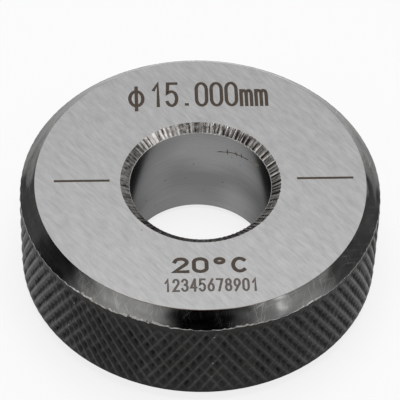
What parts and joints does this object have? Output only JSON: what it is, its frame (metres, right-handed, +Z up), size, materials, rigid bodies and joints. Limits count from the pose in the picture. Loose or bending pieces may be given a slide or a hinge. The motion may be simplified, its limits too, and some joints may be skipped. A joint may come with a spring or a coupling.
{
  "type": "setting ring gauge",
  "caption": "Round setting ring gauge for a 15 mm bore: a short thick steel ring, lapped flat on both faces, with chamfered edges and a diamond-knurled rim.",
  "frame": {"origin": "centre of the lower lapped face, on the bore's axis", "axes": "+Z up along the bore's axis, from the lower face to the upper, marked face; -Y towards the side that the picture is taken from"},
  "size_m": [0.0384, 0.0384, 0.013],
  "materials": {
    "hardened_steel": "faces lapped, bore honed, chamfers turned, rim knurled and left dark from heat treatment"
  },
  "bodies": {
    "root": {"setting_ring": "hardened_steel"}
  },
  "joints": []
}
